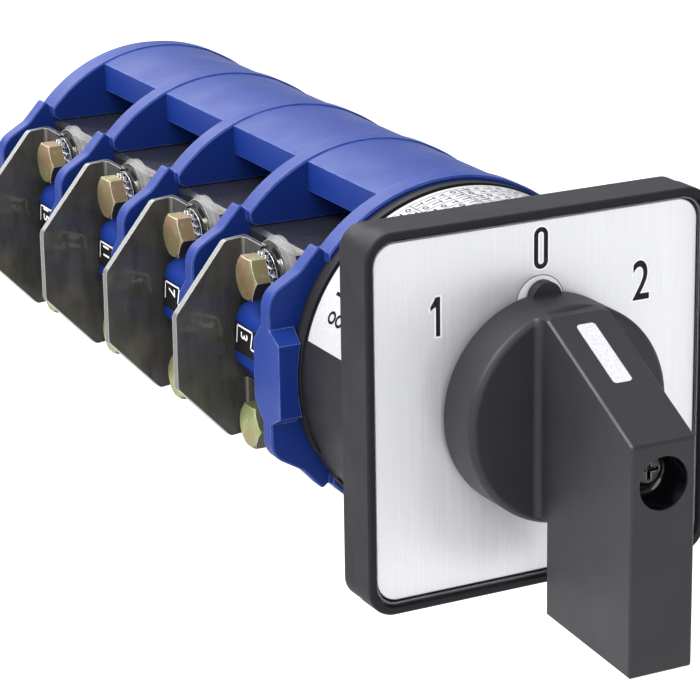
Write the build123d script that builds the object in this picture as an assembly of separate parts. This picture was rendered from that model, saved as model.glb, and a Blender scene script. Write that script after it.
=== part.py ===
"""Three-position cam-operated manual transfer switch for panel mounting, four contact decks.

Frame: +Z up, +Y along the shaft towards the rear, +X to the right as the operator sees it.
The origin is on the shaft axis, in the plane where the front panel sits between the escutcheon
and the mounting plate.  All lengths are in millimetres.
"""
import os
from math import cos, radians, sin, sqrt

from build123d import *

# ---- driving dimensions -------------------------------------------------------------------
FRAME_SIDE = 88.0            # square escutcheon, outside
FRAME_CORNER = 6.5
FRAME_FRONT = -7.0           # Y of the escutcheon's rim
FRAME_HOLE_R = 13.0
POCKET_SIDE = 84.6           # recess in the escutcheon that holds the legend
POCKET_FLOOR = -4.0
LEGEND_SIDE = 82.0
LEGEND_CORNER = 5.0
LEGEND_FACE = -5.0
LEGEND_HOLE_R = 22.0
COVER_SHEET_SIDE = 84.4
COVER_SHEET_FRONT = -5.9
COVER_SHEET_HOLE_R = 24.0
SHEET_GAP = 0.12

PLATE_SIDE = 87.2            # mounting plate behind the panel
PLATE_THICK = 6.6
PANEL_SCREW_SPACING = 68.0
PANEL_SCREW_R = 2.75
PILOT_DEPTH = 2.5

INDEX_R = 40.3               # black index housing
INDEX_CAVITY_R = 31.0
INDEX_CAVITY_REAR = 33.0
COLLAR_R = 41.0
COLLAR_FRONT = 32.0
COLLAR_NOTCH = (-26.0, -18.0)           # Z range of the gap in the collar on the left side
LABEL_R = 40.34
LABEL_THICK = 0.25
LABEL_FRONT, LABEL_REAR = 9.0, 31.0
LABEL_START, LABEL_END = 14.0, 166.0    # degrees, counted from +X towards +Z

DECKS = 4
DECK_FRONT = 35.1            # Y of the first deck's front edge
PITCH = 42.05                # length of one deck
RING_R = 42.1
RING_THICK = 6.0
RING_EDGE = 0.4              # chamfer on the ring's outer edges
BARREL_R = 41.7              # blue barrel behind each ring
SOCKET_R = 40.7              # recess in the first ring that takes the index housing
SOCKET_DEPTH = 2.0
POCKET_X = 15.8              # side wall of the wiring pockets
POCKET_ROOF = 31.3           # underside of the blue roof block
SEGMENT_X, SEGMENT_Z = 31.4, 24.5       # corner of the thick ring segments
EAR_FRONT, EAR_REAR = 2.5, 6.9          # ear plate, from the deck's front edge
EAR_X = 46.0
EAR_TOP_X, EAR_TOP_Z = 33.0, 29.4       # corner of the ear beside the ring's shoulder
EAR_VALLEY_X, EAR_VALLEY_Z = 38.1, 23.9
EAR_LOBE_Z, EAR_ROOT_Z = 19.3, 28.2
BLOCK_FRONT, BLOCK_REAR = -2.4, 10.9    # block in the middle of each ear
BLOCK_FRONT_Z, BLOCK_REAR_Z, BLOCK_ROOT_Z = 8.75, 7.2, 11.4
REAR_THICK = 9.5
RIB_X, RIB_REAR = 40.5, 33.9            # side rib that carries the terminal numbers
RIB_ROOT_X = 30.7

CHAMBER_X, CHAMBER_Z = 30.6, 24.3       # black contact chamber, half sizes
CHAMBER_FRONT = EAR_REAR + 0.05
CHAMBER_REAR = PITCH + EAR_FRONT - 0.1
WALL = 2.4
TOWER_X, TOWER_Z = 9.0, 31.1            # raised guide tower over the cam
TOWER_FRONT, TOWER_REAR, TOWER_LID = 12.5, 32.0, 2.0

TERMINAL_Y, TERMINAL_Z = 22.2, 18.2     # terminal screw axis, from the deck's front edge
HEAD_X, HEAD_HEIGHT, HEAD_AF = 42.5, 4.0, 10.0
CROWN_R, CROWN_SLOPE = 5.1, 1.7          # chamfer cone of the hexagon head
SCREW_R, SCREW_TIP_X = 3.0, 25.0
PAD_X, PAD_THICK = 32.6, 2.0
FLAT_WASHER, SPRING_WASHER = 1.0, 1.4
COVER_PLATE_Y = 35.4                    # bend of the barrier, from the deck's front edge
COVER_THICK = 1.5
COVER_LEG_X, COVER_LEG_THICK = 36.4, 1.2
BARRIER_LEAN = 14.2                     # degrees that the barrier leans towards the panel
BARRIER_REACH, BARRIER_TOP, BARRIER_CHAMFER = 21.1, 24.4, 15.4
COVER_LEG_FOOT = 10.6                   # lower edge of the upper leg
COLLAR_BORE, COLLAR_STEP_R, COLLAR_RIM_R = 7.0, 8.2, 9.0
COLLAR_STEP_X = 34.1

TIE_X, TIE_Z, TIE_R = 10.5, 34.6, 2.5
NUT_HEIGHT, NUT_AF, NUT_POCKET_R = 4.0, 8.0, 4.9
END_Y = DECK_FRONT + DECKS * PITCH      # front edge of the rear cover
REAR_Y = END_Y + REAR_THICK

KNOB_R, KNOB_REAR, KNOB_FRONT = 25.1, -6.8, -18.9
KNOB_ROUND = 1.6
LUG_R, LUG_Z, LUG_FRONT, LUG_REAR = 3.7, 24.3, -8.8, -6.2      # pointer lug on the rim of the knob
GRIP_X = 7.9
GRIP_FRONT, GRIP_BACK = -56.5, -22.3
GRIP_TOP, GRIP_EDGE = 24.2, 5.5
GRIP_BOTTOM_FRONT, GRIP_BOTTOM_BACK = -46.8, -44.5
SLOPE_RISE = 0.534                      # fall of the grip's top slope, per mm forward
SCREW_WELL_R, SCREW_WELL_Z, SCREW_WELL_FLOOR = 6.0, -3.6, -47.5
SCREW_Z, SCREW_HEAD_R, SCREW_SHANK_R = -2.4, 4.0, 1.8
MARK_WIDTH, MARK_LENGTH, MARK_START = 4.7, 18.2, 3.3

SHAFT_SQUARE = 10.0
SHAFT_FRONT = -30.0
JOURNAL_R = 7.0
TAIL_R = 4.0
HUB_R = 8.0
RUNNING = 0.05               # radial clearance of every running fit
BEARING_LENGTH = 4.5         # running length of the journal in the mounting plate
BEARING_RELIEF = 0.5         # radial relief in front of that length

CAM_MEAN_R = 10.5
THROW = 1.6                  # contact travel for 45 degrees of the shaft
CAM_FRONT, CAM_REAR = 16.0, 28.0
NOSE_R, NOSE_GAP = 2.0, 0.4
BAR_Z, BAR_THICK = 11.6, 2.4
TIP_R, TIP_HEIGHT, TIP_X = 3.0, 0.8, 12.6
CONTACT_GAP = THROW + 0.1
BRIDGE_Z = BAR_Z + BAR_THICK + 2 * TIP_HEIGHT + CONTACT_GAP
BRIDGE_THICK, BRIDGE_X = 2.0, 16.2
STEM_R, STEM_TOP = 2.5, 30.9
SPRING_WIRE_R = 0.4

WHEEL_R, WHEEL_FRONT, WHEEL_REAR = 16.0, 14.0, 22.0
DETENTS = 8
ROLLER_R, DETENT_GAP, DETENT_DEPTH = 2.0, 0.3, 1.3
PLUNGER_X, PLUNGER_TOP = 5.0, 25.0
STOP_ANGLE = 64.0
RAIL_FRONT, RAIL_Z = 13.8, 22.5


# ---- helpers ------------------------------------------------------------------------------
def along_y(sketch, front, rear):
    """Extrude an XZ sketch from one Y to another."""
    return extrude(Plane.XZ.offset(-rear) * sketch, rear - front)


def along_x(sketch, low, high):
    """Extrude a YZ sketch from one X to another."""
    return extrude(Plane.YZ.offset(low) * sketch, high - low)


def along_z(sketch, low, high):
    return extrude(Plane.XY.offset(low) * sketch, high - low)


def block(x0, x1, y0, y1, z0, z1):
    return Pos((x0 + x1) / 2, (y0 + y1) / 2, (z0 + z1) / 2) * Box(x1 - x0, y1 - y0, z1 - z0)


def disc(radius, front, rear, x=0.0, z=0.0):
    """Cylinder whose axis runs along Y."""
    return along_y(Pos(x, z) * Circle(radius), front, rear)


def lateral_disc(radius, x0, x1, y, z):
    """Cylinder whose axis runs along X."""
    return along_x(Pos(y, z) * Circle(radius), x0, x1)


def upright_disc(radius, z0, z1, x, y):
    return along_z(Pos(x, y) * Circle(radius), z0, z1)


def rounded_square(side, corner):
    return RectangleRounded(side, side, corner)


def flip_x(shape):
    return mirror(shape, Plane.YZ)


def flip_z(shape):
    return mirror(shape, Plane.XY)


def both_sides(shape):
    return [shape, flip_x(shape)]


def four_corners(shape):
    return [*both_sides(shape), *both_sides(flip_z(shape))]


def helix_spring(radius, z0, z1, turns, x, y):
    """Closed-wire compression spring standing along Z."""
    path = Helix(pitch=(z1 - z0) / turns, height=z1 - z0, radius=radius)
    profile = Plane(origin=path @ 0, z_dir=path % 0) * Circle(SPRING_WIRE_R)
    return Pos(x, y, z0) * sweep(profile, path=path, is_frenet=True)


def deck_y(index):
    return DECK_FRONT + index * PITCH


# ---- front: escutcheon, legend, handle ----------------------------------------------------
def escutcheon_frame():
    body = along_y(rounded_square(FRAME_SIDE, FRAME_CORNER), FRAME_FRONT, 0)
    rim = body.faces().sort_by(Axis.Y)[0].edges()
    body = fillet(rim, 0.8)
    body -= along_y(rounded_square(POCKET_SIDE, LEGEND_CORNER + 0.6), FRAME_FRONT - 1, POCKET_FLOOR)
    body -= disc(FRAME_HOLE_R, FRAME_FRONT, 1)
    half = PANEL_SCREW_SPACING / 2
    for x in (-half, half):
        for z in (-half, half):
            body -= disc(PANEL_SCREW_R, -PILOT_DEPTH, 1, x, z)
    return body


def legend_plate():
    face = rounded_square(LEGEND_SIDE, LEGEND_CORNER) - Circle(LEGEND_HOLE_R)
    return along_y(face, LEGEND_FACE, POCKET_FLOOR)


def legend_cover():
    sheet = along_y(rounded_square(COVER_SHEET_SIDE, LEGEND_CORNER + 0.5), COVER_SHEET_FRONT, POCKET_FLOOR)
    sheet = chamfer(sheet.faces().sort_by(Axis.Y)[0].edges(), 0.6)
    sheet -= along_y(rounded_square(LEGEND_SIDE + 0.1, LEGEND_CORNER), LEGEND_FACE - SHEET_GAP, POCKET_FLOOR)
    return sheet - disc(COVER_SHEET_HOLE_R, COVER_SHEET_FRONT - 1, LEGEND_FACE + 1)


def slope_point(distance):
    """Y and Z of the point that lies the given distance down the grip's slope."""
    step = sqrt(1 + SLOPE_RISE ** 2)
    top_y = GRIP_FRONT + (GRIP_TOP - GRIP_EDGE) / SLOPE_RISE
    return top_y - distance / step, GRIP_TOP - distance * SLOPE_RISE / step


def mark_plane(depth):
    """Plane parallel to the slope, sunk by depth; its local y runs up the slope."""
    y, z = slope_point(MARK_START + MARK_LENGTH / 2)
    up = Vector(0, 1, SLOPE_RISE).normalized()
    normal = Vector(1, 0, 0).cross(up)
    origin = Vector(0, y, z) - normal * depth
    return Plane(origin=origin, x_dir=(1, 0, 0), z_dir=normal)


def handle():
    """Round knob with a tapering lever grip in front of it, cut for the screw and the shaft."""
    base = disc(KNOB_R, KNOB_FRONT, KNOB_REAR)
    base = fillet(base.faces().sort_by(Axis.Y)[0].edges(), KNOB_ROUND)
    base += disc(LUG_R, LUG_FRONT, LUG_REAR, 0, LUG_Z)
    top_y, top_z = slope_point(0)
    root_z, root_y = GRIP_BOTTOM_BACK / 2, KNOB_REAR - 3
    profile = make_face(Polyline(
        (root_y, top_z), (top_y, top_z), (GRIP_FRONT, GRIP_EDGE), (GRIP_FRONT, GRIP_BOTTOM_FRONT),
        (GRIP_BACK, GRIP_BOTTOM_BACK), (GRIP_BACK, root_z), (root_y, root_z), close=True))
    grip = along_x(profile, -GRIP_X, GRIP_X)
    grip = chamfer([e for e in grip.edges() if e.center().Y < GRIP_BACK - 1], 0.45)
    inside_knob = disc(KNOB_R - 0.1, GRIP_FRONT - 1, KNOB_REAR)
    grip = grip & (inside_knob + block(-20, 20, GRIP_FRONT - 1, KNOB_REAR, GRIP_BOTTOM_FRONT - 1, 0))
    body = base + grip
    roots = [e for e in body.edges().filter_by(Axis.Z)
             if abs(abs(e.center().X) - GRIP_X) < 0.1 and abs(e.center().Y - KNOB_FRONT) < 0.1]
    body = fillet(roots, 1.8)
    body -= disc(SCREW_WELL_R, GRIP_FRONT - 1, SCREW_WELL_FLOOR, 0, SCREW_WELL_Z)
    body -= disc(SCREW_SHANK_R, SCREW_WELL_FLOOR - 1, SHAFT_FRONT, 0, SCREW_Z)
    body -= along_y(Rectangle(SHAFT_SQUARE, SHAFT_SQUARE), SHAFT_FRONT, KNOB_REAR + 1)
    body -= extrude(mark_plane(0.6) * RectangleRounded(MARK_WIDTH, MARK_LENGTH, 0.9), 3)
    return body


def handle_indicator():
    return extrude(mark_plane(0.6) * RectangleRounded(MARK_WIDTH - 0.1, MARK_LENGTH - 0.1, 0.85), 0.7)


def handle_screw():
    head = disc(SCREW_HEAD_R, SCREW_WELL_FLOOR - 3.2, SCREW_WELL_FLOOR, 0, SCREW_Z)
    head = fillet(head.faces().sort_by(Axis.Y)[0].edges(), 1.2)
    for size in ((5.0, 1.0), (1.0, 5.0)):
        slot = Pos(0, SCREW_Z) * Rectangle(*size)
        head -= along_y(slot, SCREW_WELL_FLOOR - 4, SCREW_WELL_FLOOR - 1.6)
    return head + disc(SCREW_SHANK_R, SCREW_WELL_FLOOR, SHAFT_FRONT + 14, 0, SCREW_Z)


# ---- shaft and index mechanism ------------------------------------------------------------
def mounting_plate():
    body = along_y(rounded_square(PLATE_SIDE, FRAME_CORNER - 1), 0, PLATE_THICK)
    body = chamfer(body.faces().sort_by(Axis.Y)[-1].edges(), 0.6)
    body -= disc(JOURNAL_R + RUNNING, -1, PLATE_THICK + 1)
    body -= disc(JOURNAL_R + BEARING_RELIEF, -1, PLATE_THICK - BEARING_LENGTH)
    half = PANEL_SCREW_SPACING / 2
    for x in (-1, 1):
        for z in (-1, 1):
            body -= disc(PANEL_SCREW_R, -1, PLATE_THICK + 1, x * half, z * half)
            body -= disc(TIE_R, -1, PLATE_THICK + 1, x * TIE_X, z * TIE_Z)
            body -= disc(2 * TIE_R, -1, 3.0, x * TIE_X, z * TIE_Z)
    return body


def index_housing():
    body = disc(INDEX_R, PLATE_THICK, DECK_FRONT + SOCKET_DEPTH)
    collar = disc(COLLAR_R, COLLAR_FRONT, DECK_FRONT - 0.1)
    collar -= block(-COLLAR_R - 1, -32, COLLAR_FRONT - 1, DECK_FRONT + 1, *COLLAR_NOTCH)
    body += collar
    boss = disc(INDEX_R, DECK_FRONT, DECK_FRONT + EAR_FRONT - 0.1)
    boss &= block(-50, 50, 0, 60, -SEGMENT_Z + 0.2, SEGMENT_Z - 0.2)
    body += boss
    body -= disc(INDEX_CAVITY_R, PLATE_THICK - 1, INDEX_CAVITY_REAR)
    body -= disc(HUB_R + RUNNING, 0, 60)
    for x in (-1, 1):
        for z in (-1, 1):
            body -= disc(TIE_R, 0, 60, x * TIE_X, z * TIE_Z)
    rail_x = PLUNGER_X + 0.3
    rail = block(rail_x, rail_x + 4, RAIL_FRONT, INDEX_CAVITY_REAR + 1, RAIL_Z, INDEX_CAVITY_R + 1)
    for guide in four_corners(rail):
        body += guide
    return body


def rating_label():
    ring = Circle(LABEL_R + LABEL_THICK) - Circle(LABEL_R)
    reach = 2 * INDEX_R
    wedge = make_face(Polyline(
        (0, 0), (reach * cos(radians(LABEL_START)), reach * sin(radians(LABEL_START))), (reach, reach),
        (-reach, reach), (reach * cos(radians(LABEL_END)), reach * sin(radians(LABEL_END))), close=True))
    return along_y(ring & wedge, LABEL_FRONT, LABEL_REAR)


def index_cover():
    body = disc(INDEX_CAVITY_R - 0.1, PLATE_THICK + 0.1, 8.0) - disc(JOURNAL_R + RUNNING, 0, 20)
    for side in (-1, 1):
        stop = block(18, 23, 7, 13.5, -3, 3)
        body += stop.rotate(Axis.Y, side * STOP_ANGLE)
    return body


def detent_wheel():
    outline = Circle(WHEEL_R)
    seat = WHEEL_R + DETENT_GAP + ROLLER_R - DETENT_DEPTH
    for spot in PolarLocations(seat, DETENTS, start_angle=90):
        outline -= spot * Circle(ROLLER_R + 0.35)
    body = along_y(outline, WHEEL_FRONT, WHEEL_REAR)
    body += disc(HUB_R, WHEEL_REAR - 1, DECK_FRONT + EAR_FRONT - 0.2)
    body += block(9, 20.5, 9, WHEEL_FRONT + 1, -3, 3)
    return body - along_y(Rectangle(SHAFT_SQUARE, SHAFT_SQUARE), 0, 60)


def detent_plunger():
    """Upper spring plunger; its roller drops into the wheel's notches."""
    roller_z = WHEEL_R + DETENT_GAP + ROLLER_R
    body = disc(ROLLER_R, WHEEL_FRONT + 0.5, WHEEL_REAR - 0.5, 0, roller_z)
    body += block(-PLUNGER_X, PLUNGER_X, WHEEL_FRONT, WHEEL_REAR, roller_z + 1, PLUNGER_TOP)
    return body + upright_disc(1.8, PLUNGER_TOP - 1, PLUNGER_TOP + 3, 0, (WHEEL_FRONT + WHEEL_REAR) / 2)


def detent_springs():
    upper = helix_spring(2.9, PLUNGER_TOP + 0.6, INDEX_CAVITY_R - 1.4, 4, 0, (WHEEL_FRONT + WHEEL_REAR) / 2)
    return [upper, flip_z(upper)]


def shaft():
    square_end = END_Y + EAR_FRONT - 0.5
    body = along_y(Rectangle(SHAFT_SQUARE, SHAFT_SQUARE), SHAFT_FRONT, square_end)
    body += disc(JOURNAL_R, -3, 8.5)
    body += disc(TAIL_R, square_end - 1, REAR_Y - 1.8)
    return body - disc(SCREW_SHANK_R, SHAFT_FRONT - 1, SHAFT_FRONT + 14.5, 0, SCREW_Z)


def cam(index):
    """Disc cam with two linear flanks, and the hub that runs in the deck's bearing bore."""
    low, high = CAM_MEAN_R - THROW, CAM_MEAN_R + THROW

    def flank(side):
        points = []
        for step in range(-2, 3):
            angle = radians(step * 22.5)
            radius = CAM_MEAN_R - THROW * step / 2
            points.append((radius * sin(angle), side * radius * cos(angle)))
        return Spline(*points)

    corner = sqrt(0.5)
    right = ThreePointArc((low * corner, low * corner), (low, 0), (low * corner, -low * corner))
    left = ThreePointArc((-high * corner, -high * corner), (-high, 0), (-high * corner, high * corner))
    outline = make_face([flank(1), right, flank(-1), left])
    front = deck_y(index)
    body = along_y(outline, front + CAM_FRONT, front + CAM_REAR)
    body += disc(HUB_R, front + EAR_FRONT + 0.1, front + CAM_FRONT + 1)
    body += disc(HUB_R, front + CAM_REAR - 1, front + PITCH + EAR_FRONT - 0.1)
    return body - along_y(Rectangle(SHAFT_SQUARE, SHAFT_SQUARE), front, front + PITCH + 10)


# ---- contact decks ------------------------------------------------------------------------
def ear_outline():
    """Half outline of the flange on the +X side, with the lobe that shields the terminals."""
    upper = [(0, EAR_ROOT_Z), (SEGMENT_X, EAR_ROOT_Z), (EAR_TOP_X, EAR_TOP_Z),
             (EAR_VALLEY_X, EAR_VALLEY_Z), (EAR_X, EAR_LOBE_Z)]
    lower = [(x, -z) for x, z in reversed(upper)]
    lobe = make_face(Polyline(*upper, *lower, close=True))
    lobe = fillet([v for v in lobe.vertices() if abs(v.X - EAR_VALLEY_X) < 0.1], 5.0)
    lobe = fillet([v for v in lobe.vertices() if abs(v.X - EAR_X) < 0.1], 6.0)
    return fillet([v for v in lobe.vertices() if abs(v.X - EAR_TOP_X) < 0.1], 0.8)


def ear_block(front):
    """Thick middle of the ear, flush with its outer face and sloped above and below."""
    side = make_face(Polyline(
        (front + BLOCK_FRONT, -BLOCK_FRONT_Z), (front + BLOCK_FRONT, BLOCK_FRONT_Z),
        (front + EAR_FRONT, BLOCK_ROOT_Z), (front + EAR_REAR, BLOCK_ROOT_Z),
        (front + BLOCK_REAR, BLOCK_REAR_Z), (front + BLOCK_REAR, -BLOCK_REAR_Z),
        (front + EAR_REAR, -BLOCK_ROOT_Z), (front + EAR_FRONT, -BLOCK_ROOT_Z), close=True))
    body = along_x(side, EAR_VALLEY_X, EAR_X)
    return body - disc(COLLAR_R + 0.3, front + BLOCK_FRONT - 1, front + EAR_FRONT)


def ring_segment(front):
    """Upper half of the ring that closes the deck's front, flat below."""
    shoulder_z = sqrt(RING_R ** 2 - SEGMENT_X ** 2)
    outline = make_face([
        ThreePointArc((-SEGMENT_X, shoulder_z), (0, RING_R), (SEGMENT_X, shoulder_z)),
        Polyline((SEGMENT_X, shoulder_z), (SEGMENT_X, SEGMENT_Z), (-SEGMENT_X, SEGMENT_Z),
                 (-SEGMENT_X, shoulder_z))])
    outline = fillet([v for v in outline.vertices() if v.Y < SEGMENT_Z + 0.1], 2.2)
    body = along_y(outline, front, front + RING_THICK)
    return chamfer([e for e in body.edges() if e.center().Z > shoulder_z + 0.5], RING_EDGE)


def flange(front):
    """Ring segments at top and bottom, ear plates, middle blocks: shared by decks and rear cover."""
    upper = ring_segment(front)
    ear = along_y(ear_outline(), front + EAR_FRONT, front + EAR_REAR)
    ear = chamfer([e for e in ear.edges() if e.center().X > EAR_TOP_X - 1], 0.35)
    side = ear + ear_block(front)
    body = upper + flip_z(upper) + side + flip_x(side)
    return body - disc(HUB_R + RUNNING, front - 1, front + EAR_REAR + 1)


def tie_holes(front, rear):
    return [disc(TIE_R, front, rear, x * TIE_X, z * TIE_Z) for x in (-1, 1) for z in (-1, 1)]


def side_rib(front):
    """Rib behind the ear block: rounded above the number label, sloped below it."""
    profile = make_face([
        Polyline((RIB_ROOT_X, -10.0), (36.5, -10.0), (RIB_X, -5.0), (RIB_X, 5.2)),
        RadiusArc((RIB_X, 5.2), (36.4, 9.4), -4.2),
        Polyline((36.4, 9.4), (RIB_ROOT_X, 9.4), (RIB_ROOT_X, -10.0))])
    rib = along_y(profile, front + EAR_REAR - 0.5, front + RIB_REAR)
    rear_edges = [e for e in rib.faces().sort_by(Axis.Y)[-1].edges() if e.center().X > 36]
    return fillet(rear_edges, 2.0)


def deck_housing(index):
    front = deck_y(index)
    body = flange(front)
    roof = make_face([
        Polyline((-POCKET_X, sqrt(BARREL_R ** 2 - POCKET_X ** 2)), (-POCKET_X, POCKET_ROOF),
                 (POCKET_X, POCKET_ROOF), (POCKET_X, sqrt(BARREL_R ** 2 - POCKET_X ** 2))),
        ThreePointArc((-POCKET_X, sqrt(BARREL_R ** 2 - POCKET_X ** 2)), (0, BARREL_R),
                      (POCKET_X, sqrt(BARREL_R ** 2 - POCKET_X ** 2)))])
    upper = along_y(roof, front + RING_THICK - 1, front + PITCH)
    upper -= upright_disc(STEM_R + 0.8, POCKET_ROOF - 1, POCKET_ROOF + 2, 0, front + TERMINAL_Y)
    body = body + upper + flip_z(upper)
    rib = side_rib(front)
    body = body + rib + flip_x(rib)
    if index == 0:
        body -= disc(SOCKET_R, front - 1, front + SOCKET_DEPTH)
    for hole in tie_holes(front - 1, front + PITCH + 1):
        body -= hole
    return body


def rear_cover():
    """Last flange, closed behind, with the tail bearing of the shaft."""
    body = flange(END_Y)
    body += disc(HUB_R + 2, END_Y + EAR_FRONT, REAR_Y)
    body -= disc(HUB_R + RUNNING, END_Y - 1, END_Y + EAR_FRONT)
    body -= disc(TAIL_R + RUNNING, END_Y + 1, REAR_Y - 1.5)
    back = disc(BARREL_R - 0.4, END_Y + RING_THICK - 1, REAR_Y) - disc(HUB_R + 1, END_Y, REAR_Y + 1)
    body += back
    pocket = disc(NUT_POCKET_R, REAR_Y - NUT_HEIGHT, REAR_Y + 1, TIE_X, TIE_Z)
    for cutter in (*tie_holes(END_Y - 1, REAR_Y + 1), *four_corners(pocket)):
        body -= cutter
    return body


def contact_chamber(index):
    """Black arc chamber: a box open to the rear, with windows under the guide towers."""
    front = deck_y(index)
    y0, y1 = front + CHAMBER_FRONT, front + CHAMBER_REAR
    body = block(-CHAMBER_X, CHAMBER_X, y0, y1, -CHAMBER_Z, CHAMBER_Z)
    body = chamfer(body.edges().filter_by(Axis.Y), 1.0)
    body -= block(-CHAMBER_X + WALL, CHAMBER_X - WALL, y0 + WALL, y1 + 1, -CHAMBER_Z + WALL, CHAMBER_Z - WALL)
    well = TOWER_X - WALL
    body -= block(-well, well, front + TOWER_FRONT + WALL, front + TOWER_REAR - WALL, -TOWER_Z, TOWER_Z)
    body -= disc(HUB_R + 1, y0 - 1, y0 + WALL + 1)
    centre = front + TERMINAL_Y
    slot = block(CHAMBER_X - WALL - 1, CHAMBER_X + 1, centre - 5, centre + 5, BAR_Z, BAR_Z + BAR_THICK)
    hole = lateral_disc(SCREW_R, CHAMBER_X - WALL - 1, CHAMBER_X + 1, centre, TERMINAL_Z)
    for cutter in (*four_corners(slot), *four_corners(hole)):
        body -= cutter
    return body


def guide_tower(index):
    """Upper tower on the chamber that guides a carrier's stem and holds its spring."""
    y0, y1 = deck_y(index) + TOWER_FRONT, deck_y(index) + TOWER_REAR
    body = block(-TOWER_X, TOWER_X, y0, y1, CHAMBER_Z + 0.05, TOWER_Z)
    well = TOWER_X - WALL
    body -= block(-well, well, y0 + WALL, y1 - WALL, CHAMBER_Z, TOWER_Z - TOWER_LID)
    return body - upright_disc(STEM_R + RUNNING, CHAMBER_Z, TOWER_Z + 1, 0, deck_y(index) + TERMINAL_Y)


def carrier(index):
    """Upper contact carrier: nose on the cam, plate, and the stem that guides it in the tower."""
    centre = deck_y(index) + TERMINAL_Y
    nose_z = CAM_MEAN_R + NOSE_GAP + NOSE_R
    body = disc(NOSE_R, centre - 5, centre + 5, 0, nose_z)
    body += block(-6, 6, centre - 5, centre + 5, nose_z, BRIDGE_Z)
    return body + upright_disc(STEM_R, BRIDGE_Z - 1, STEM_TOP, 0, centre)


def bridge(index):
    """Upper moving contact bar with its two silver tips."""
    centre = deck_y(index) + TERMINAL_Y
    body = block(-BRIDGE_X, BRIDGE_X, centre - 4, centre + 4, BRIDGE_Z, BRIDGE_Z + BRIDGE_THICK)
    for x in (-TIP_X, TIP_X):
        body += upright_disc(TIP_R, BRIDGE_Z - TIP_HEIGHT, BRIDGE_Z + 0.1, x, centre)
    return body - upright_disc(STEM_R, BRIDGE_Z - 1, BRIDGE_Z + BRIDGE_THICK + 1, 0, centre)


def fixed_contact(index):
    """Upper fixed contact on the +X side: terminal pad, bar and silver tip."""
    centre = deck_y(index) + TERMINAL_Y
    body = block(PAD_X - PAD_THICK, PAD_X, centre - 7, centre + 7, BAR_Z - 0.4, CHAMBER_Z - 0.3)
    body += block(TIP_X - 2.6, PAD_X - 0.5, centre - 5, centre + 5, BAR_Z, BAR_Z + BAR_THICK)
    body += upright_disc(TIP_R - 0.4, BAR_Z + 1, BAR_Z + BAR_THICK + TIP_HEIGHT, TIP_X, centre)
    return body - lateral_disc(SCREW_R, PAD_X - 5, PAD_X + 1, centre, TERMINAL_Z)


def contact_spring(index):
    base = BRIDGE_Z + BRIDGE_THICK + 0.5
    return helix_spring(4.4, base, TOWER_Z - 2.6, 3.5, 0, deck_y(index) + TERMINAL_Y)


def terminal_cover(index):
    """Bent clear cover on the +X side: leaning barrier, two legs with screw collars."""
    bend_y = deck_y(index) + COVER_PLATE_Y
    centre = deck_y(index) + TERMINAL_Y
    inner = COVER_LEG_X - COVER_LEG_THICK
    tip_x, tip_z = COVER_LEG_X + BARRIER_REACH, BARRIER_TOP - BARRIER_CHAMFER
    shoulder_x = tip_x - BARRIER_CHAMFER
    outline = make_face(Polyline(
        (inner, BARRIER_TOP), (shoulder_x, BARRIER_TOP), (tip_x, tip_z), (tip_x, -tip_z),
        (shoulder_x, -BARRIER_TOP), (inner, -BARRIER_TOP), close=True))
    outline = fillet([v for v in outline.vertices() if v.X > COVER_LEG_X], 2.0)
    barrier = along_y(outline, bend_y, bend_y + COVER_THICK)
    barrier = barrier.rotate(Axis((COVER_LEG_X, bend_y, 0), (0, 0, 1)), -BARRIER_LEAN)
    leg = block(inner, COVER_LEG_X, centre, bend_y + COVER_THICK / 2, COVER_LEG_FOOT, BARRIER_TOP)
    leg += lateral_disc(COLLAR_STEP_R, COLLAR_STEP_X, inner + 0.2, centre, TERMINAL_Z)
    leg += lateral_disc(COLLAR_RIM_R, PAD_X + 0.1, COLLAR_STEP_X, centre, TERMINAL_Z)
    leg -= block(PAD_X, HEAD_X, centre - 10, bend_y - 5, 5, COVER_LEG_FOOT)
    leg -= lateral_disc(COLLAR_BORE, PAD_X - 1, HEAD_X, centre, TERMINAL_Z)
    body = barrier + leg + flip_z(leg)
    bends = [e for e in body.edges().filter_by(Axis.Z)
             if abs(e.center().X - COVER_LEG_X) < 0.05 and abs(e.center().Y - bend_y) < 0.05]
    return fillet(bends, 1.2)


def terminal_bolt(index):
    centre = deck_y(index) + TERMINAL_Y
    hexagon = RegularPolygon(HEAD_AF / 2, 6, major_radius=False)
    head = along_x(Pos(centre, TERMINAL_Z) * hexagon, HEAD_X - HEAD_HEIGHT, HEAD_X)
    crown = Cone(CROWN_R, CROWN_R + CROWN_SLOPE * HEAD_HEIGHT, HEAD_HEIGHT)
    head &= Pos(HEAD_X - HEAD_HEIGHT / 2, centre, TERMINAL_Z) * Rot(0, -90, 0) * crown
    return head + lateral_disc(SCREW_R, SCREW_TIP_X, HEAD_X - HEAD_HEIGHT + 0.5, centre, TERMINAL_Z)


def flat_washer(index):
    centre = deck_y(index) + TERMINAL_Y
    ring = Pos(centre, TERMINAL_Z) * (Circle(6.2) - Circle(SCREW_R))
    outer = HEAD_X - HEAD_HEIGHT - SPRING_WASHER
    return along_x(ring, outer - FLAT_WASHER, outer)


def spring_washer(index):
    centre = deck_y(index) + TERMINAL_Y
    ring = Pos(centre, TERMINAL_Z) * (Circle(5.0) - Circle(SCREW_R))
    body = along_x(ring, HEAD_X - HEAD_HEIGHT - SPRING_WASHER, HEAD_X - HEAD_HEIGHT)
    return body - block(PAD_X, HEAD_X, centre - 0.5, centre + 0.5, TERMINAL_Z, TERMINAL_Z + 6)


def number_label(index):
    front = deck_y(index)
    return block(RIB_X, RIB_X + 0.4, front + BLOCK_REAR + 0.6, front + RIB_REAR - 1.6, -4.8, 4.8)


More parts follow.
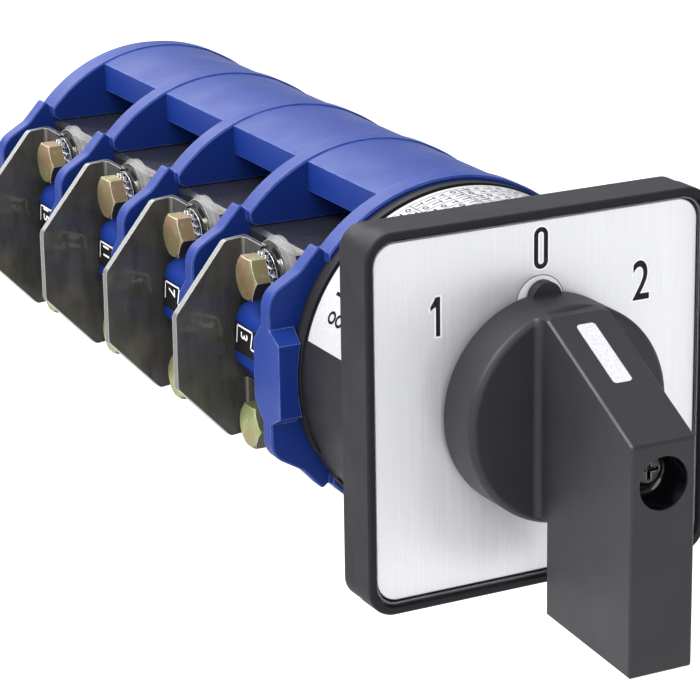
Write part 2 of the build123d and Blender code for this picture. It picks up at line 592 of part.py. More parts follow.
def tie_bolt():
    body = disc(2 * TIE_R - 0.1, 0.4, 3.0, TIE_X, TIE_Z)
    return body + disc(TIE_R, 2.5, REAR_Y, TIE_X, TIE_Z)


def tie_nut():
    hexagon = RegularPolygon(NUT_AF / 2, 6, major_radius=False)
    ring = Pos(TIE_X, TIE_Z) * (hexagon - Circle(TIE_R))
    return along_y(ring, REAR_Y - NUT_HEIGHT, REAR_Y)


# ---- the nodes ----------------------------------------------------------------------------
def group(solids):
    return Compound(children=[s for shape in solids for s in shape.solids()])


def build_nodes():
    nodes = {
        "escutcheon_frame": escutcheon_frame(),
        "legend_plate": legend_plate(),
        "legend_cover": legend_cover(),
        "handle": handle(),
        "handle_indicator": handle_indicator(),
        "handle_screw": handle_screw(),
        "mounting_plate": mounting_plate(),
        "index_housing": index_housing(),
        "rating_label": rating_label(),
        "index_cover": index_cover(),
        "detent_wheel": detent_wheel(),
        "detent_plunger_upper": detent_plunger(),
        "detent_plunger_lower": flip_z(detent_plunger()),
        "detent_springs": group(detent_springs()),
        "shaft": shaft(),
        "rear_cover": rear_cover(),
        "tie_bolts": group(four_corners(tie_bolt())),
        "tie_nuts": group(four_corners(tie_nut())),
    }
    decks = range(DECKS)
    for index in decks:
        number = index + 1
        cover = terminal_cover(index)
        nodes[f"cam_{number}"] = cam(index)
        nodes[f"deck_housing_{number}"] = deck_housing(index)
        nodes[f"contact_chamber_{number}"] = contact_chamber(index)
        nodes[f"carrier_upper_{number}"] = carrier(index)
        nodes[f"carrier_lower_{number}"] = flip_z(carrier(index))
        nodes[f"bridge_upper_{number}"] = bridge(index)
        nodes[f"bridge_lower_{number}"] = flip_z(bridge(index))
        nodes[f"terminal_cover_right_{number}"] = cover
        nodes[f"terminal_cover_left_{number}"] = flip_x(cover)
    nodes["fixed_contacts"] = group(s for i in decks for s in four_corners(fixed_contact(i)))
    nodes["terminal_bolts"] = group(s for i in decks for s in four_corners(terminal_bolt(i)))
    washers = [shape for i in decks for shape in (flat_washer(i), spring_washer(i))]
    nodes["washers"] = group(s for washer in washers for s in four_corners(washer))
    towers = [guide_tower(i) for i in decks]
    nodes["guide_towers"] = group([*towers, *(flip_z(s) for s in towers)])
    nodes["number_labels"] = group(s for i in decks for s in both_sides(number_label(i)))
    springs = [contact_spring(i) for i in decks]
    nodes["contact_springs"] = group([*springs, *(flip_z(s) for s in springs)])
    return nodes


os.makedirs("parts", exist_ok=True)
for name, shape in build_nodes().items():
    export_step(shape, f"parts/{name}.step")
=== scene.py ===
"""Looks of the manual transfer switch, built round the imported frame.  Lengths are in metres."""
from math import cos, pi, radians, sin, sqrt

import bpy
from mathutils import Matrix, Vector


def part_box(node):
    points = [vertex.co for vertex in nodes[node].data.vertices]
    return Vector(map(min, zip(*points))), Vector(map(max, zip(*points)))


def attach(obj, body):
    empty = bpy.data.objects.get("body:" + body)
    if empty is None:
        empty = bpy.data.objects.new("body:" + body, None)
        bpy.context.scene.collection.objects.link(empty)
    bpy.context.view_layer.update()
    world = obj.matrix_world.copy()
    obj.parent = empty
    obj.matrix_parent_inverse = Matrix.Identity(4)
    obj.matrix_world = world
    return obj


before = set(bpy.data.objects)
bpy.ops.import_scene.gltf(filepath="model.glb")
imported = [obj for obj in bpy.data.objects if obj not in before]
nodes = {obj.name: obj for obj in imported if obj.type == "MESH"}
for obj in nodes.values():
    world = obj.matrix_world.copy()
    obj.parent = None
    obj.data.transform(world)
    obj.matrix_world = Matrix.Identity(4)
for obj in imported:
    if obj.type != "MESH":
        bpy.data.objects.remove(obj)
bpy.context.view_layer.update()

MM = 0.001
DECKS = 4
DECK_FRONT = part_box("contact_chamber_1")[0].y - 6.95 * MM
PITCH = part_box("contact_chamber_2")[0].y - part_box("contact_chamber_1")[0].y
LEGEND_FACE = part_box("legend_plate")[0].y
TERMINAL_Y, TERMINAL_Z = 22.2, 18.2     # terminal screw axis, in mm from the deck's front edge
WELL_Z = -3.6                           # centre of the screw well in the lever, in mm
BEND_X = 36.4 * MM                      # bend between the legs and the barrier of a terminal cover
BLUE = (0.0050, 0.0225, 0.158)          # colour of the blue housings
PAINTED_LEDGE = 2.6 * MM                # height of the blue strip at the foot of a number label
PRINT_LIFT = 0.03                       # print stands this far off its label, in mm
HALO_LIFT = 0.015                       # the pale outline lies between the legend and its print
MARK_X, MARK_Z, MARK_R = 0.3, 22.6, 6.0     # pale disc behind the knob's lug, in mm


# ---- camera, light and floor --------------------------------------------------------------
CAMERA_PLACE = Vector((-0.32459, -0.55265, 0.21663))
CAMERA_RIGHT = Vector((0.88957, -0.45653, -0.01545))
CAMERA_UP = Vector((0.15308, 0.26608, 0.95172))
CAMERA_LENS = 154.55


def add_camera():
    data = bpy.data.cameras.new("camera")
    data.lens = CAMERA_LENS
    data.sensor_width = 36
    data.clip_start = 0.01
    camera = bpy.data.objects.new("camera", data)
    back = CAMERA_RIGHT.cross(CAMERA_UP)
    turn = Matrix((CAMERA_RIGHT, CAMERA_UP, back)).transposed()
    camera.matrix_world = Matrix.Translation(CAMERA_PLACE) @ turn.to_4x4()
    bpy.context.scene.collection.objects.link(camera)
    bpy.context.scene.camera = camera


def soft_sun(name, direction, spread, level, colour=(1, 1, 1)):
    """Distant soft light; level is the brightness it gives to a white surface that faces it."""
    data = bpy.data.lights.new(name, "SUN")
    data.angle = radians(spread)
    data.energy = level * pi
    data.color = colour
    lamp = bpy.data.objects.new(name, data)
    lamp.rotation_euler = (-Vector(direction)).to_track_quat("-Z", "Y").to_euler()
    bpy.context.scene.collection.objects.link(lamp)


def add_world():
    """Pale surroundings, brighter behind and above the object than in front of it."""
    world = bpy.data.worlds.new("studio")
    world.use_nodes = True
    tree = world.node_tree
    background = tree.nodes["Background"]
    place = tree.nodes.new("ShaderNodeTexCoord")
    parts = tree.nodes.new("ShaderNodeSeparateXYZ")
    depth = tree.nodes.new("ShaderNodeMapRange")
    tree.links.new(place.outputs["Generated"], parts.inputs[0])
    tree.links.new(parts.outputs["Y"], depth.inputs["Value"])
    for key, value in (("From Min", -0.8), ("From Max", 0.9), ("To Min", 0.42), ("To Max", 0.75)):
        depth.inputs[key].default_value = value
    tree.links.new(depth.outputs["Result"], background.inputs["Strength"])
    background.inputs["Color"].default_value = (0.96, 0.98, 1, 1)
    bpy.context.scene.world = world


def add_studio():
    bpy.context.scene.view_settings.view_transform = "Standard"
    add_world()
    soft_sun("key", (-0.63, 0.11, 0.77), 34, 1.72)
    soft_sun("back_top", (-0.10, 0.74, 0.66), 50, 0.85)
    soft_sun("front_fill", (-0.32, -0.82, 0.47), 40, 0.45)
    mesh = bpy.data.meshes.new("floor")
    reach, drop = 14.0, -0.35
    mesh.from_pydata([(-reach, -reach, drop), (reach, -reach, drop), (reach, reach, drop),
                      (-reach, reach, drop)], [], [(0, 1, 2, 3)])
    floor = bpy.data.objects.new("floor", mesh)
    bpy.context.scene.collection.objects.link(floor)
    paint = Paint("floor")
    grain = paint.noise(9, 3)
    paint.set(Base_Color=paint.mix(grain, (0.52, 0.52, 0.52), (0.54, 0.54, 0.54)), Roughness=0.95)
    floor.data.materials.append(paint.material)


# ---- material toolkit ---------------------------------------------------------------------
class Paint:
    """A node material under construction, with short calls for the nodes used here."""

    def __init__(self, name):
        self.material = bpy.data.materials.new(name)
        self.material.use_nodes = True
        self.tree = self.material.node_tree
        self.shader = self.tree.nodes["Principled BSDF"]
        self.place = self.node("ShaderNodeTexCoord").outputs["Object"]

    def node(self, kind, **settings):
        made = self.tree.nodes.new(kind)
        for key, value in settings.items():
            setattr(made, key, value)
        return made

    def link(self, source, target):
        self.tree.links.new(source, target)

    def feed(self, node, **inputs):
        for key, value in inputs.items():
            socket = node.inputs[key.replace("_", " ")]
            if isinstance(value, bpy.types.NodeSocket):
                self.link(value, socket)
            else:
                socket.default_value = value
        return node

    def math(self, operation, a, b=0.0, clamp=False):
        made = self.node("ShaderNodeMath", operation=operation, use_clamp=clamp)
        for socket, value in zip(made.inputs, (a, b)):
            if isinstance(value, bpy.types.NodeSocket):
                self.link(value, socket)
            else:
                socket.default_value = value
        return made.outputs[0]

    def noise(self, scale, detail=3.0, stretch=(1, 1, 1), rough=0.5):
        mapping = self.node("ShaderNodeMapping")
        mapping.inputs["Scale"].default_value = stretch
        self.link(self.place, mapping.inputs["Vector"])
        made = self.node("ShaderNodeTexNoise")
        self.feed(made, Vector=mapping.outputs[0], Scale=scale, Detail=detail, Roughness=rough)
        return made.outputs["Fac"]

    def ramp(self, factor, *stops):
        made = self.node("ShaderNodeValToRGB")
        elements = made.color_ramp.elements
        while len(elements) < len(stops):
            elements.new(0.5)
        for element, (position, value) in zip(elements, stops):
            element.position = position
            colour = (value, value, value) if isinstance(value, (int, float)) else value
            element.color = (*colour, 1)
        self.link(factor, made.inputs["Fac"])
        return made.outputs["Color"]

    def span(self, value, low, high, out_low, out_high):
        made = self.node("ShaderNodeMapRange")
        self.feed(made, Value=value, From_Min=low, From_Max=high, To_Min=out_low, To_Max=out_high)
        return made.outputs["Result"]

    def mix(self, factor, a, b, blend="MIX"):
        made = self.node("ShaderNodeMix", data_type="RGBA", blend_type=blend)
        for index, value in ((0, factor), (6, a), (7, b)):
            socket = made.inputs[index]
            if isinstance(value, bpy.types.NodeSocket):
                self.link(value, socket)
            else:
                socket.default_value = value if index == 0 else (*value, 1)
        return made.outputs[2]

    def edges(self, radius, low=0.02, high=0.25):
        """Mask that is 1 along convex and concave edges and 0 on open faces."""
        bevel = self.node("ShaderNodeBevel", samples=4)
        bevel.inputs["Radius"].default_value = radius
        geometry = self.node("ShaderNodeNewGeometry")
        dot = self.node("ShaderNodeVectorMath", operation="DOT_PRODUCT")
        self.link(bevel.outputs[0], dot.inputs[0])
        self.link(geometry.outputs["Normal"], dot.inputs[1])
        return self.span(self.math("SUBTRACT", 1.0, dot.outputs["Value"]), low, high, 0.0, 1.0)

    def bump(self, height, strength, distance, soft_edge=0.0):
        made = self.node("ShaderNodeBump")
        self.feed(made, Height=height, Strength=strength, Distance=distance)
        if soft_edge:
            bevel = self.node("ShaderNodeBevel", samples=4)
            bevel.inputs["Radius"].default_value = soft_edge
            self.link(bevel.outputs[0], made.inputs["Normal"])
        self.link(made.outputs[0], self.shader.inputs["Normal"])

    def set(self, **inputs):
        self.feed(self.shader, **inputs)
        return self


def shade(colour, factor):
    return tuple(min(1.0, c * factor) for c in colour)


def moulded_plastic(name, colour, roughness, grain=0.35, edge_highlight=None, soft_edge=0.35, mottle=0.06, gloss=0.5):
    """Injection-moulded plastic: fine spark-eroded grain, slight flow mottling, and edges painted lighter as
    a highlight.
    """
    # Colour of the painted highlight along the edges; by default a lighter copy of the body colour.
    edge_highlight = edge_highlight or shade(colour, 1.8)
    paint = Paint(name)
    cloud = paint.noise(55, 4)
    body = paint.mix(cloud, shade(colour, 1 - mottle), shade(colour, 1 + mottle))
    speck = paint.noise(4200, 2)
    body = paint.mix(paint.ramp(speck, (0.60, 0.0), (0.78, 0.30)), body, shade(colour, 1.5))
    # Painted highlight: the edge mask, broken up by noise, mixes the body towards the highlight colour.
    edge = paint.edges(0.45 * MM)
    highlight_mask = paint.math("MULTIPLY", edge, paint.span(paint.noise(240, 4), 0.35, 0.7, 0.35, 1.0))
    body = paint.mix(highlight_mask, body, edge_highlight)
    patchy = paint.span(paint.noise(90, 5), 0.3, 0.7, roughness - 0.05, roughness + 0.07)
    paint.set(Base_Color=body, Roughness=patchy, Specular_IOR_Level=gloss)
    paint.bump(paint.noise(2600, 3), grain, 0.06 * MM, soft_edge * MM)
    return paint.material


def brushed_metal(name, colour, metallic, roughness, stretch, lines=0.25):
    paint = Paint(name)
    fine = paint.noise(900, 4, stretch, 0.6)
    broad = paint.noise(70, 3, stretch)
    tone = paint.mix(paint.span(fine, 0.3, 0.7, 0, 1), shade(colour, 0.93), shade(colour, 1.04))
    tone = paint.mix(paint.span(broad, 0.35, 0.65, 0, 0.5), tone, shade(colour, 0.96))
    paint.set(Base_Color=tone, Metallic=metallic)
    paint.set(Roughness=paint.span(fine, 0.3, 0.7, roughness - 0.05, roughness + 0.08))
    paint.bump(fine, lines, 0.02 * MM)
    return paint.material


def zinc_steel(name="bright_zinc", colour=(0.62, 0.63, 0.65), edge_highlight=0.7):
    paint = Paint(name)
    grain = paint.noise(700, 4)
    tone = paint.mix(paint.span(grain, 0.3, 0.7, 0, 1), shade(colour, 0.7), shade(colour, 1.15))
    # Painted highlight: edges are mixed towards near white, as strongly as the given edge highlight level.
    highlight_mask = paint.edges(0.3 * MM)
    tone = paint.mix(paint.math("MULTIPLY", highlight_mask, edge_highlight), tone, (0.95, 0.95, 0.96))
    paint.set(Base_Color=tone, Metallic=1.0, Roughness=paint.span(paint.noise(300, 4), 0.3, 0.7, 0.2, 0.42))
    paint.bump(grain, 0.25, 0.03 * MM, 0.15 * MM)
    return paint.material


def chromate(name="yellow_chromate"):
    """Yellow zinc chromate: green-yellow below, gold to copper-pink above, finely speckled, with painted
    shade on faces that turn downwards and a painted highlight along the edges.
    """
    paint = Paint(name)
    parts = paint.node("ShaderNodeSeparateXYZ")
    paint.link(paint.place, parts.inputs[0])
    height = paint.span(parts.outputs["Z"], -0.022, 0.022, -0.16, 0.16)
    drift = paint.math("ADD", paint.noise(150, 3), height)
    hue = paint.ramp(drift, (0.30, (0.27, 0.33, 0.09)), (0.44, (0.30, 0.31, 0.10)),
                     (0.56, (0.29, 0.23, 0.09)), (0.74, (0.33, 0.19, 0.10)))
    speck = paint.noise(2600, 3)
    hue = paint.mix(paint.span(speck, 0.42, 0.72, 0, 0.75), hue, (0.20, 0.22, 0.17))
    pale = paint.noise(420, 3)
    hue = paint.mix(paint.span(pale, 0.55, 0.75, 0, 0.5), hue, (0.42, 0.45, 0.36))
    highlight_mask = paint.edges(0.3 * MM)
    # Painted shade: faces that turn downwards are darkened almost to black.
    geometry = paint.node("ShaderNodeNewGeometry")
    turn = paint.node("ShaderNodeSeparateXYZ")
    paint.link(geometry.outputs["True Normal"], turn.inputs[0])
    painted_underside_shade = paint.span(turn.outputs["Z"], -0.45, -0.1, 0.9, 0.0)
    hue = paint.mix(painted_underside_shade, hue, (0.035, 0.032, 0.024))
    # Painted highlight: edges are mixed towards pale cream.
    hue = paint.mix(paint.math("MULTIPLY", highlight_mask, 0.85), hue, (0.95, 0.93, 0.84))
    paint.set(Base_Color=hue, Metallic=0.85, Roughness=paint.span(speck, 0.3, 0.7, 0.34, 0.52))
    paint.bump(speck, 0.35, 0.04 * MM, 0.25 * MM)
    return paint.material


def clear_sheet(name, tint):
    """Clear protective sheet: almost invisible on its face, with a painted highlight, pale and more opaque,
    along its bevelled rim.
    """
    paint = Paint(name)
    haze = paint.noise(160, 4)
    # Painted highlight: along the bevelled rim the sheet turns pale and more opaque.
    rim = paint.edges(0.7 * MM, 0.01, 0.12)
    paint.set(Base_Color=paint.mix(rim, tint, (0.80, 0.82, 0.90)))
    paint.set(Roughness=paint.span(haze, 0.3, 0.7, 0.05, 0.13))
    paint.set(Alpha=paint.span(rim, 0.0, 1.0, 0.008, 0.60))
    paint.bump(paint.noise(400, 3), 0.1, 0.02 * MM, 0.2 * MM)
    return paint.material


def smoke_cover(name="smoke_cover"):
    """Smoked clear moulding: dark glossy faces, and edges painted white as highlights."""
    paint = Paint(name)
    geometry = paint.node("ShaderNodeNewGeometry")
    turn = paint.node("ShaderNodeSeparateXYZ")
    paint.link(geometry.outputs["True Normal"], turn.inputs[0])
    spot = paint.node("ShaderNodeSeparateXYZ")
    paint.link(paint.place, spot.inputs[0])
    reach = paint.math("ABSOLUTE", spot.outputs["X"])
    facing = paint.math("ABSOLUTE", turn.outputs["Y"])
    on_barrier = paint.math("GREATER_THAN", reach, BEND_X + 0.2 * MM)
    on_rim = paint.math("MULTIPLY", on_barrier, paint.math("LESS_THAN", facing, 0.93))
    on_collar = paint.math("LESS_THAN", reach, BEND_X - 1.15 * MM)
    # Painted highlight: this edge mask lightens the faces along their edges, and the rims are dark with
    # painted white highlights on their edges.
    corner = paint.edges(0.22 * MM, 0.02, 0.20)
    rim_with_highlights = paint.mix(corner, (0.11, 0.11, 0.10), (0.85, 0.85, 0.85))
    streak = paint.noise(300, 4, (1, 1, 0.3))
    face = paint.mix(paint.span(streak, 0.3, 0.7, 0, 1), (0.044, 0.043, 0.039), (0.074, 0.070, 0.062))
    blot = paint.noise(75, 2)
    face = paint.mix(paint.span(blot, 0.56, 0.72, 0, 0.5), face, (0.125, 0.118, 0.100))
    dust = paint.noise(1500, 3)
    face = paint.mix(paint.span(dust, 0.66, 0.8, 0, 0.35), face, (0.16, 0.16, 0.16))
    face = paint.mix(paint.math("MULTIPLY", on_collar, 0.85), face, (0.40, 0.40, 0.41))
    # Painted highlight along the edges of the faces.
    face = paint.mix(corner, face, (0.62, 0.62, 0.62))
    paint.set(Base_Color=paint.mix(on_rim, face, rim_with_highlights))
    solid = paint.math("MAXIMUM", on_rim, paint.span(on_collar, 0.0, 1.0, 0.92, 0.40))
    paint.set(Alpha=solid, Roughness=paint.span(streak, 0.3, 0.7, 0.12, 0.22), Specular_IOR_Level=0.6)
    paint.bump(paint.noise(110, 3), 0.25, 0.10 * MM, 0.2 * MM)
    return paint.material


def printed_film(name, colour, roughness=0.4, gloss=0.5, grain=0.93):
    paint = Paint(name)
    fibre = paint.noise(2400, 4)
    tone = paint.mix(paint.span(fibre, 0.35, 0.65, 0, 1), shade(colour, grain), shade(colour, 1.03))
    paint.set(Specular_IOR_Level=gloss, Base_Color=tone)
    paint.set(Roughness=paint.span(paint.noise(300), 0.3, 0.7, roughness, roughness + 0.15))
    paint.bump(fibre, 0.15, 0.02 * MM)
    return paint.material


def number_film(name, blue):
    """Black number film; its lowest strip is painted blue, like the ledge below it."""
    paint = Paint(name)
    parts = paint.node("ShaderNodeSeparateXYZ")
    paint.link(paint.place, parts.inputs[0])
    ledge_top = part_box("number_labels")[0].z + PAINTED_LEDGE
    on_ledge = paint.math("LESS_THAN", parts.outputs["Z"], ledge_top)
    fibre = paint.noise(2400, 4)
    film = paint.mix(paint.span(fibre, 0.35, 0.65, 0, 1), (0.0074, 0.0074, 0.0084), (0.0082, 0.0082, 0.0093))
    paint.set(Base_Color=paint.mix(on_ledge, film, blue), Specular_IOR_Level=0.25)
    paint.set(Roughness=paint.span(paint.noise(300), 0.3, 0.7, 0.4, 0.55))
    paint.bump(fibre, 0.15, 0.02 * MM)
    return paint.material


def dress(node, material):
    """Give a CAD node one material."""
    mesh = nodes[node].data
    if mesh.materials:
        for index in range(len(mesh.materials)):
            mesh.materials[index] = material
    else:
        mesh.materials.append(material)


def make_palette():
    # Each colour given after the grain is the painted edge highlight; this dark one serves the black
    # plastics.
    dark_edge_highlight = (0.022, 0.022, 0.026)
    return {
        "blue": moulded_plastic("blue_plastic", BLUE, 0.46, 0.25, (0.20, 0.29, 0.66), 0.25, gloss=0.20),
        "black": moulded_plastic("black_plastic", (0.0145, 0.0145, 0.0172), 0.50, 0.45, dark_edge_highlight, 0.3,
                                 gloss=0.10),
        "lever": moulded_plastic("handle_plastic", (0.0138, 0.0138, 0.0172), 0.50, 0.5, dark_edge_highlight, 0.4,
                                 gloss=0.40),
        "chamber": moulded_plastic("chamber_plastic", (0.013, 0.013, 0.015), 0.26, 0.3,
                                   (0.06, 0.06, 0.06), 0.3),
        "well": moulded_plastic("well_plastic", (0.004, 0.004, 0.006), 0.12, 0.2, None, 0.3),
        "inner": moulded_plastic("inner_plastic", (0.70, 0.69, 0.64), 0.5),
        "steel": zinc_steel(),
        "dark_steel": zinc_steel("washer_zinc", (0.07, 0.07, 0.07), 0.9),
        "yellow": chromate(),
        "copper": brushed_metal("copper", (0.42, 0.36, 0.31), 1.0, 0.36, (1, 1, 6)),
        "smoke": smoke_cover(),
        "inlay": printed_film("white_inlay", (0.50, 0.50, 0.54), 0.5, 0.3, 0.72),
        "legend": brushed_metal("legend_aluminium", (0.74, 0.74, 0.76), 0.50, 0.36, (3.2, 3.2, 0.06)),
        "sheet": clear_sheet("legend_sheet", (0.9, 0.9, 0.92)),
        "paper": printed_film("label_film", (0.37, 0.37, 0.38), 0.5, 0.3, 0.84),
        "label": number_film("label_black", BLUE),
        "ink": printed_film("black_ink", (0.005, 0.005, 0.007), 0.5, 0.05),
        "print": printed_film("white_print", (0.92, 0.92, 0.94), 0.4),
    }


def dress_all(paint):
    chosen = {
        "escutcheon_frame": "black", "mounting_plate": "black", "index_housing": "black",
        "index_cover": "black", "detent_wheel": "inner", "handle": "lever", "handle_indicator": "inlay",
        "handle_screw": "dark_steel", "shaft": "steel", "tie_bolts": "steel", "tie_nuts": "steel",
        "detent_springs": "steel", "contact_springs": "steel", "washers": "dark_steel",
        "guide_towers": "chamber", "terminal_bolts": "yellow", "legend_plate": "legend",
        "legend_cover": "sheet", "rating_label": "paper", "number_labels": "label",
        "fixed_contacts": "copper", "rear_cover": "blue",
        "detent_plunger_upper": "inner", "detent_plunger_lower": "inner",
    }
    starts = {"deck_housing": "blue", "contact_chamber": "chamber", "terminal_cover": "smoke",
              "cam_": "inner", "carrier_": "inner", "bridge_": "copper"}
    for name in nodes:
        for start, look in starts.items():
            if name.startswith(start):
                chosen[name] = look
    for name, look in chosen.items():
        dress(name, paint[look])


# ---- pieces added to the frame ------------------------------------------------------------
def add_piece(name, vertices, faces, material, body="switch_body"):
    """Mesh piece whose vertices are given in millimetres in the row's frame."""
    mesh = bpy.data.meshes.new(name)
    mesh.from_pydata([Vector(v) * MM for v in vertices], [], faces)
    mesh.update()
    mesh.materials.append(material)
    piece = bpy.data.objects.new(name, mesh)
    bpy.context.scene.collection.objects.link(piece)
    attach(piece, body)
    return piece


class Sheetwork:
    """Flat print gathered into one mesh; place maps (u, v) in millimetres to a point."""

    def __init__(self):
        self.vertices, self.faces = [], []

    def face(self, points):
        start = len(self.vertices)
        self.vertices += points
        self.faces.append(tuple(range(start, len(self.vertices))))

    def stroke(self, place, points, width):
        """Line of the given width through the points, with square ends."""
        half = width / 2
        for (u0, v0), (u1, v1) in zip(points, points[1:]):
            length = sqrt((u1 - u0) ** 2 + (v1 - v0) ** 2)
            du, dv = (u1 - u0) / length * half, (v1 - v0) / length * half
            pieces = max(1, int(length / 2.5))
            for k in range(pieces):
                a, b = k / pieces, (k + 1) / pieces
                ea, eb = (-1 if k == 0 else 0), (1 if k == pieces - 1 else 0)
                ua, va = u0 + (u1 - u0) * a + ea * du, v0 + (v1 - v0) * a + ea * dv
                ub, vb = u0 + (u1 - u0) * b + eb * du, v0 + (v1 - v0) * b + eb * dv
                self.face([place(ua - dv, va + du), place(ua + dv, va - du),
                           place(ub + dv, vb - du), place(ub - dv, vb + du)])

    def text(self, place, words, u, v, height, width_scale=1.0, thicken=0.0):
        """Digits from the built-in typeface, centred on (u, v)."""
        curve = bpy.data.curves.new("digits", "FONT")
        curve.body, curve.size = words, 1.0
        curve.align_x, curve.align_y = "LEFT", "BOTTOM_BASELINE"
        curve.offset = thicken / (height * 1.37)
        holder = bpy.data.objects.new("digits", curve)
        bpy.context.scene.collection.objects.link(holder)
        bpy.context.view_layer.update()
        flat = holder.evaluated_get(bpy.context.evaluated_depsgraph_get()).to_mesh()
        xs = [q.co.x for q in flat.vertices]
        ys = [q.co.y for q in flat.vertices]
        scale = (height + 2 * thicken) / (max(ys) - min(ys))
        mid_x, mid_y = (max(xs) + min(xs)) / 2, (max(ys) + min(ys)) / 2
        start = len(self.vertices)
        for q in flat.vertices:
            across, up = (q.co.x - mid_x) * scale, (q.co.y - mid_y) * scale
            self.vertices.append(place(u + across * width_scale, v + up))
        self.faces += [tuple(start + i for i in polygon.vertices) for polygon in flat.polygons]
        holder.evaluated_get(bpy.context.evaluated_depsgraph_get()).to_mesh_clear()
        bpy.data.objects.remove(holder)

    def ring(self, place, u, v, outer, inner=0.0, squeeze=1.0, steps=48):
        """Disc or ring about (u, v); squeeze narrows it across."""
        for k in range(steps):
            a, b = 2 * pi * k / steps, 2 * pi * (k + 1) / steps
            rim = [place(u + outer * squeeze * sin(t), v + outer * cos(t)) for t in (a, b)]
            if inner:
                core = [place(u + inner * squeeze * sin(t), v + inner * cos(t)) for t in (b, a)]
            else:
                core = [place(u, v)]
            self.face(rim + core)

    def finish(self, name, material, slot):
        return add_piece(name, self.vertices, self.faces, material)


def on_legend(lift):
    """Place on the legend's face: u to the right, v up."""
    return lambda u, v: (u, LEGEND_FACE / MM - lift, v)


def draw_positions(work, place, grow):
    """The three position numbers; grow widens every stroke for the pale outline behind them."""
    work.text(place, "2", 26.6, 23.6, 9.0, 0.74, 0.12 + grow)
    half = 0.55 + grow
    stem, top, bottom = -25.4, 27.5 + grow, 18.5 - grow
    work.face([place(stem - half, bottom), place(stem + half, bottom), place(stem + half, top),
               place(stem - half, top)])
    work.face([place(stem - half, top), place(stem - 1.9 - grow, 25.4 - grow),
               place(stem - 1.9 - grow, 24.4 - grow), place(stem, 25.9 - grow)])
    centre_u, centre_v, side, run = 0.5, 34.8, 1.15, 3.0
    outline = [(a, run) for a in range(-90, 91, 15)] + [(a, -run) for a in range(90, 271, 15)]
    outer, inner = side + half + 0.1, side - half + 0.1
    for (a, shift), (b, next_shift) in zip(outline, outline[1:] + outline[:1]):
        corners = ((a, shift, outer), (b, next_shift, outer), (b, next_shift, inner), (a, shift, inner))
        work.face([place(centre_u + r * sin(radians(t)), centre_v + lift + r * cos(radians(t)))
                   for t, lift, r in corners])


def add_legend_print(paint):
    halo, ink = Sheetwork(), Sheetwork()
    draw_positions(halo, on_legend(HALO_LIFT), 0.35)
    draw_positions(ink, on_legend(PRINT_LIFT), 0.0)
    halo.ring(on_legend(HALO_LIFT), MARK_X, MARK_Z, MARK_R)
    ink.ring(on_legend(PRINT_LIFT), MARK_X, MARK_Z, MARK_R + 0.12, MARK_R - 0.05)
    halo.finish("legend_halo", paint["print"], "white_inlay")
    ink.finish("legend_digits", paint["ink"], "black_plastic")


def on_side(side, lift):
    """Place on a number label: u towards the rear, v up."""
    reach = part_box("number_labels")[1].x / MM + lift
    return lambda u, v: (side * reach, u, v)


def rotated(side, lift, centre_u, centre_v):
    """Place for digits that stand with their heads towards the front panel."""
    flat = on_side(side, lift)
    return lambda u, v: flat(centre_u - v, centre_v + side * u)


def add_number_print(paint):
    work = Sheetwork()
    for index in range(DECKS):
        front = (DECK_FRONT + index * PITCH) / MM
        first = 4 * index + 1
        for side, numbers in ((-1, (first, first + 2)), (1, (first + 1, first + 3))):
            for number, spot in zip(numbers, (17.3, 27.0)):
                place = rotated(side, PRINT_LIFT, front + spot, 2.45)
                work.text(place, str(number), 0, 0, 3.6, 0.86, 0.04)
            bracket = [(31.2, 0.2), (30.6, 4.5), (22.4, 4.5), (23.6, 0.2), (12.3, 0.2)]
            work.stroke(on_side(side, PRINT_LIFT), [(front + u, v) for u, v in bracket], 0.42)
    work.finish("number_print", paint["print"], "white_inlay")


def on_housing(radius):
    """Place round the index housing: u in millimetres of arc from the top, v towards the rear."""
    return lambda u, v: (radius * sin(u / radius), v, radius * cos(u / radius))


def add_rating_print(paint):
    """Generic table on the rating label: rules, bars and rings that spell nothing."""
    low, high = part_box("rating_label")
    front = low.y / MM
    place = on_housing(high.z / MM + PRINT_LIFT)
    work = Sheetwork()
    left, right = -50.0, 50.0
    table = left + 24
    rules = [front + 1.2 + 3.2 * k for k in range(7)]
    for y in rules:
        work.stroke(place, [(table, y), (right - 6, y)], 0.20)
    for u in (table, table + 12, table + 24, 0.0, right - 36, right - 20, right - 6):
        work.stroke(place, [(u, rules[0]), (u, rules[-1])], 0.20)
    for row, y in enumerate(rules[:-1]):
        for k in range(22):
            u = table + 1.6 + k * 3.0
            size = 0.5 + 0.3 * ((k * 7 + row * 3) % 3)
            if (k + row) % 4 == 0:
                work.ring(place, u, y + 1.6, 0.9, 0.5, 0.7, 16)
            else:
                work.stroke(place, [(u - size, y + 1.6), (u + size, y + 1.6)], 0.40)
                work.stroke(place, [(u + size, y + 0.9), (u + size, y + 2.3)], 0.26)
    for v in (front + 7.5, front + 11.0, front + 14.5):
        work.ring(place, left + 3.6, v, 1.7, 0.95, 0.9, 28)
    for u in (left + 9.0, left + 12.5, left + 16.0):
        work.stroke(place, [(u, front + 6.0), (u, front + 16.5)], 0.9)
    work.finish("rating_print", paint["ink"], "black_plastic")


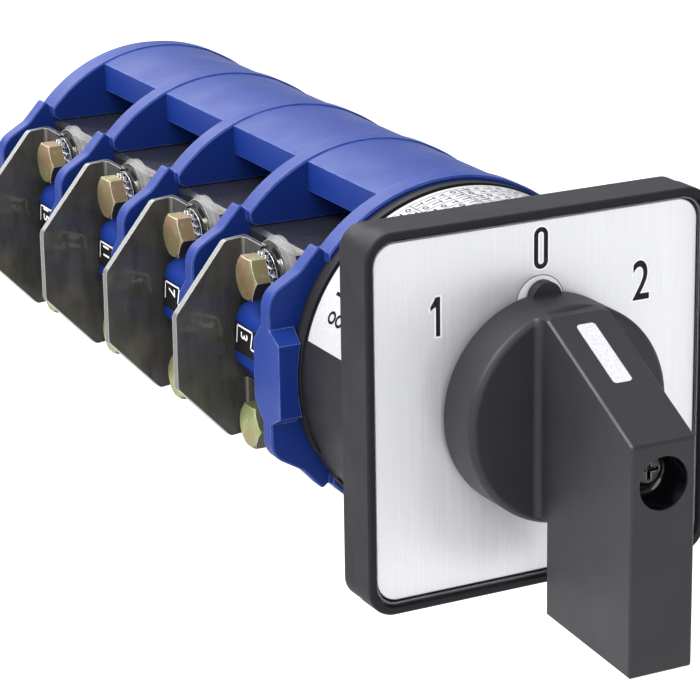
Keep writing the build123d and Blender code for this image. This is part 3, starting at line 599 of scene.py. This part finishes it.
def add_lock_washers(paint):
    """Toothed ring round each spring washer, with pointed teeth that catch the light."""
    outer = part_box("washers")[1].x / MM
    inner = outer - 1.35
    vertices, faces = [], []
    teeth = 18
    for index in range(DECKS):
        centre = (DECK_FRONT + index * PITCH) / MM + TERMINAL_Y
        for side in (-1, 1):
            for height in (-TERMINAL_Z, TERMINAL_Z):
                start = len(vertices)
                for k in range(2 * teeth):
                    angle = pi * k / teeth
                    radius = 5.9 if k % 2 else 5.1
                    across, up = radius * cos(angle), radius * sin(angle)
                    for x in (inner if k % 2 else inner + 0.45, outer if k % 2 == 0 else outer - 0.45):
                        vertices.append((side * x, centre + across, height + up))
                for k in range(2 * teeth):
                    a, b = start + 2 * k, start + 2 * ((k + 1) % (2 * teeth))
                    faces.append((a, a + 1, b + 1, b))
    piece = add_piece("lock_washer_teeth", vertices, faces, paint["steel"])
    shell = piece.modifiers.new("thickness", "SOLIDIFY")
    shell.thickness = 0.35 * MM
    shell.offset = -1


def add_threads(paint):
    """Thread ridges on the screw shanks that show between the terminal pads and the washers."""
    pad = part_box("fixed_contacts")[1].x / MM
    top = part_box("washers")[1].x / MM - 2.4
    pitch, steps = 1.0, 20
    turns = int((top - pad) / pitch)
    vertices, faces = [], []
    for index in range(DECKS):
        centre = (DECK_FRONT + index * PITCH) / MM + TERMINAL_Y
        for side in (-1, 1):
            for height in (-TERMINAL_Z, TERMINAL_Z):
                start = len(vertices)
                count = turns * steps + 1
                for k in range(count):
                    angle = 2 * pi * k / steps
                    x = pad + 0.2 + pitch * k / steps
                    for dx, radius in ((-0.4, 3.0), (0, 3.35), (0.4, 3.0)):
                        vertices.append((side * (x + dx), centre + radius * cos(angle),
                                         height + radius * sin(angle)))
                for k in range(count - 1):
                    a, b = start + 3 * k, start + 3 * (k + 1)
                    faces += [(a, a + 1, b + 1, b), (a + 1, a + 2, b + 2, b + 1)]
    add_piece("screw_threads", vertices, faces, paint["steel"])


def add_well_lining(paint):
    """Glossy wall and dished floor of the screw well in the lever's end."""
    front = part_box("handle")[0].y / MM + 0.5
    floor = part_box("handle_screw")[0].y / MM + 3.15
    steps = 48
    rings = [(5.93, front), (5.93, floor - 1.2), (5.6, floor - 0.4), (4.6, floor - 0.1), (4.1, floor - 0.05)]
    vertices = [(radius * cos(2 * pi * k / steps), y, WELL_Z + radius * sin(2 * pi * k / steps))
                for radius, y in rings for k in range(steps)]
    faces = []
    for row in range(len(rings) - 1):
        for k in range(steps):
            a, b = row * steps + k, row * steps + (k + 1) % steps
            faces.append((a, a + steps, b + steps, b))
    lining = add_piece("well_lining", vertices, faces, paint["well"], "rotor")
    for polygon in lining.data.polygons:
        polygon.use_smooth = True


add_camera()
add_studio()
palette = make_palette()
dress_all(palette)
add_legend_print(palette)
add_number_print(palette)
add_rating_print(palette)
add_lock_washers(palette)
add_threads(palette)
add_well_lining(palette)
